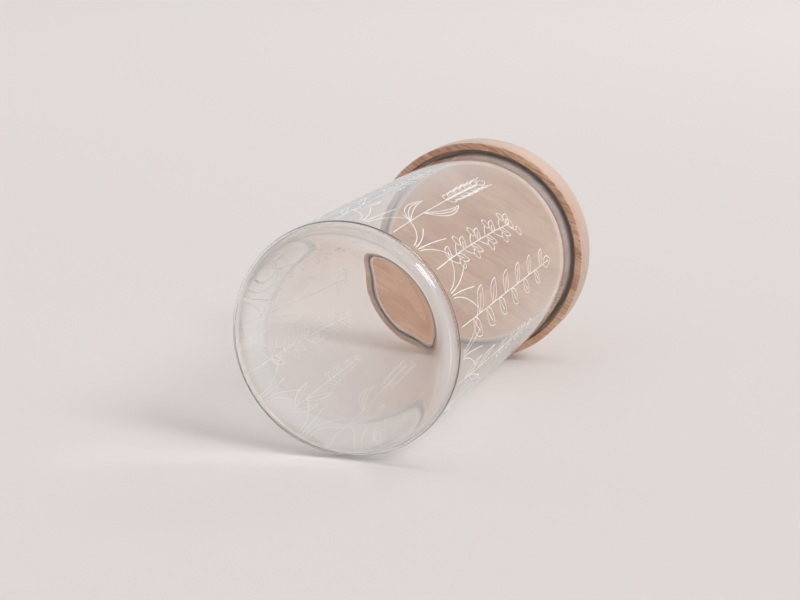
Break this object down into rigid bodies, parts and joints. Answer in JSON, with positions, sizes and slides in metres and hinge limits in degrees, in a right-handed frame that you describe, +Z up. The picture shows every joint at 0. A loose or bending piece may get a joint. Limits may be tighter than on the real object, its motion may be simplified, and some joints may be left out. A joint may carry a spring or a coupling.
{
  "type": "glass storage jar with wooden lid",
  "caption": "Straight clear glass storage jar with a pushed-up base, and a turned wooden lid whose plug and silicone seal drop into the mouth.",
  "frame": {"origin": "middle of the foot ring that the jar stands on", "axes": "+Z up along the jar's axis, from the foot to the lid"},
  "size_m": [0.1098, 0.1098, 0.2017],
  "materials": {
    "clear_glass": "clear, thin-walled and fire polished, with a printed design of fine white lines round the outside",
    "turned_wood": "fine sanded pale wood with short dark pores along the grain, lightly oiled",
    "silicone": "milky translucent silicone, satin"
  },
  "bodies": {
    "jar": {"glass_jar": "clear_glass"},
    "lid": {"wooden_lid": "turned_wood", "lid_seal": "silicone"}
  },
  "joints": [
    {"name": "lid_lift", "type": "slide", "parent": "jar", "child": "lid", "axis": [0, 0, 1], "range_m": [0, 0.06]}
  ]
}
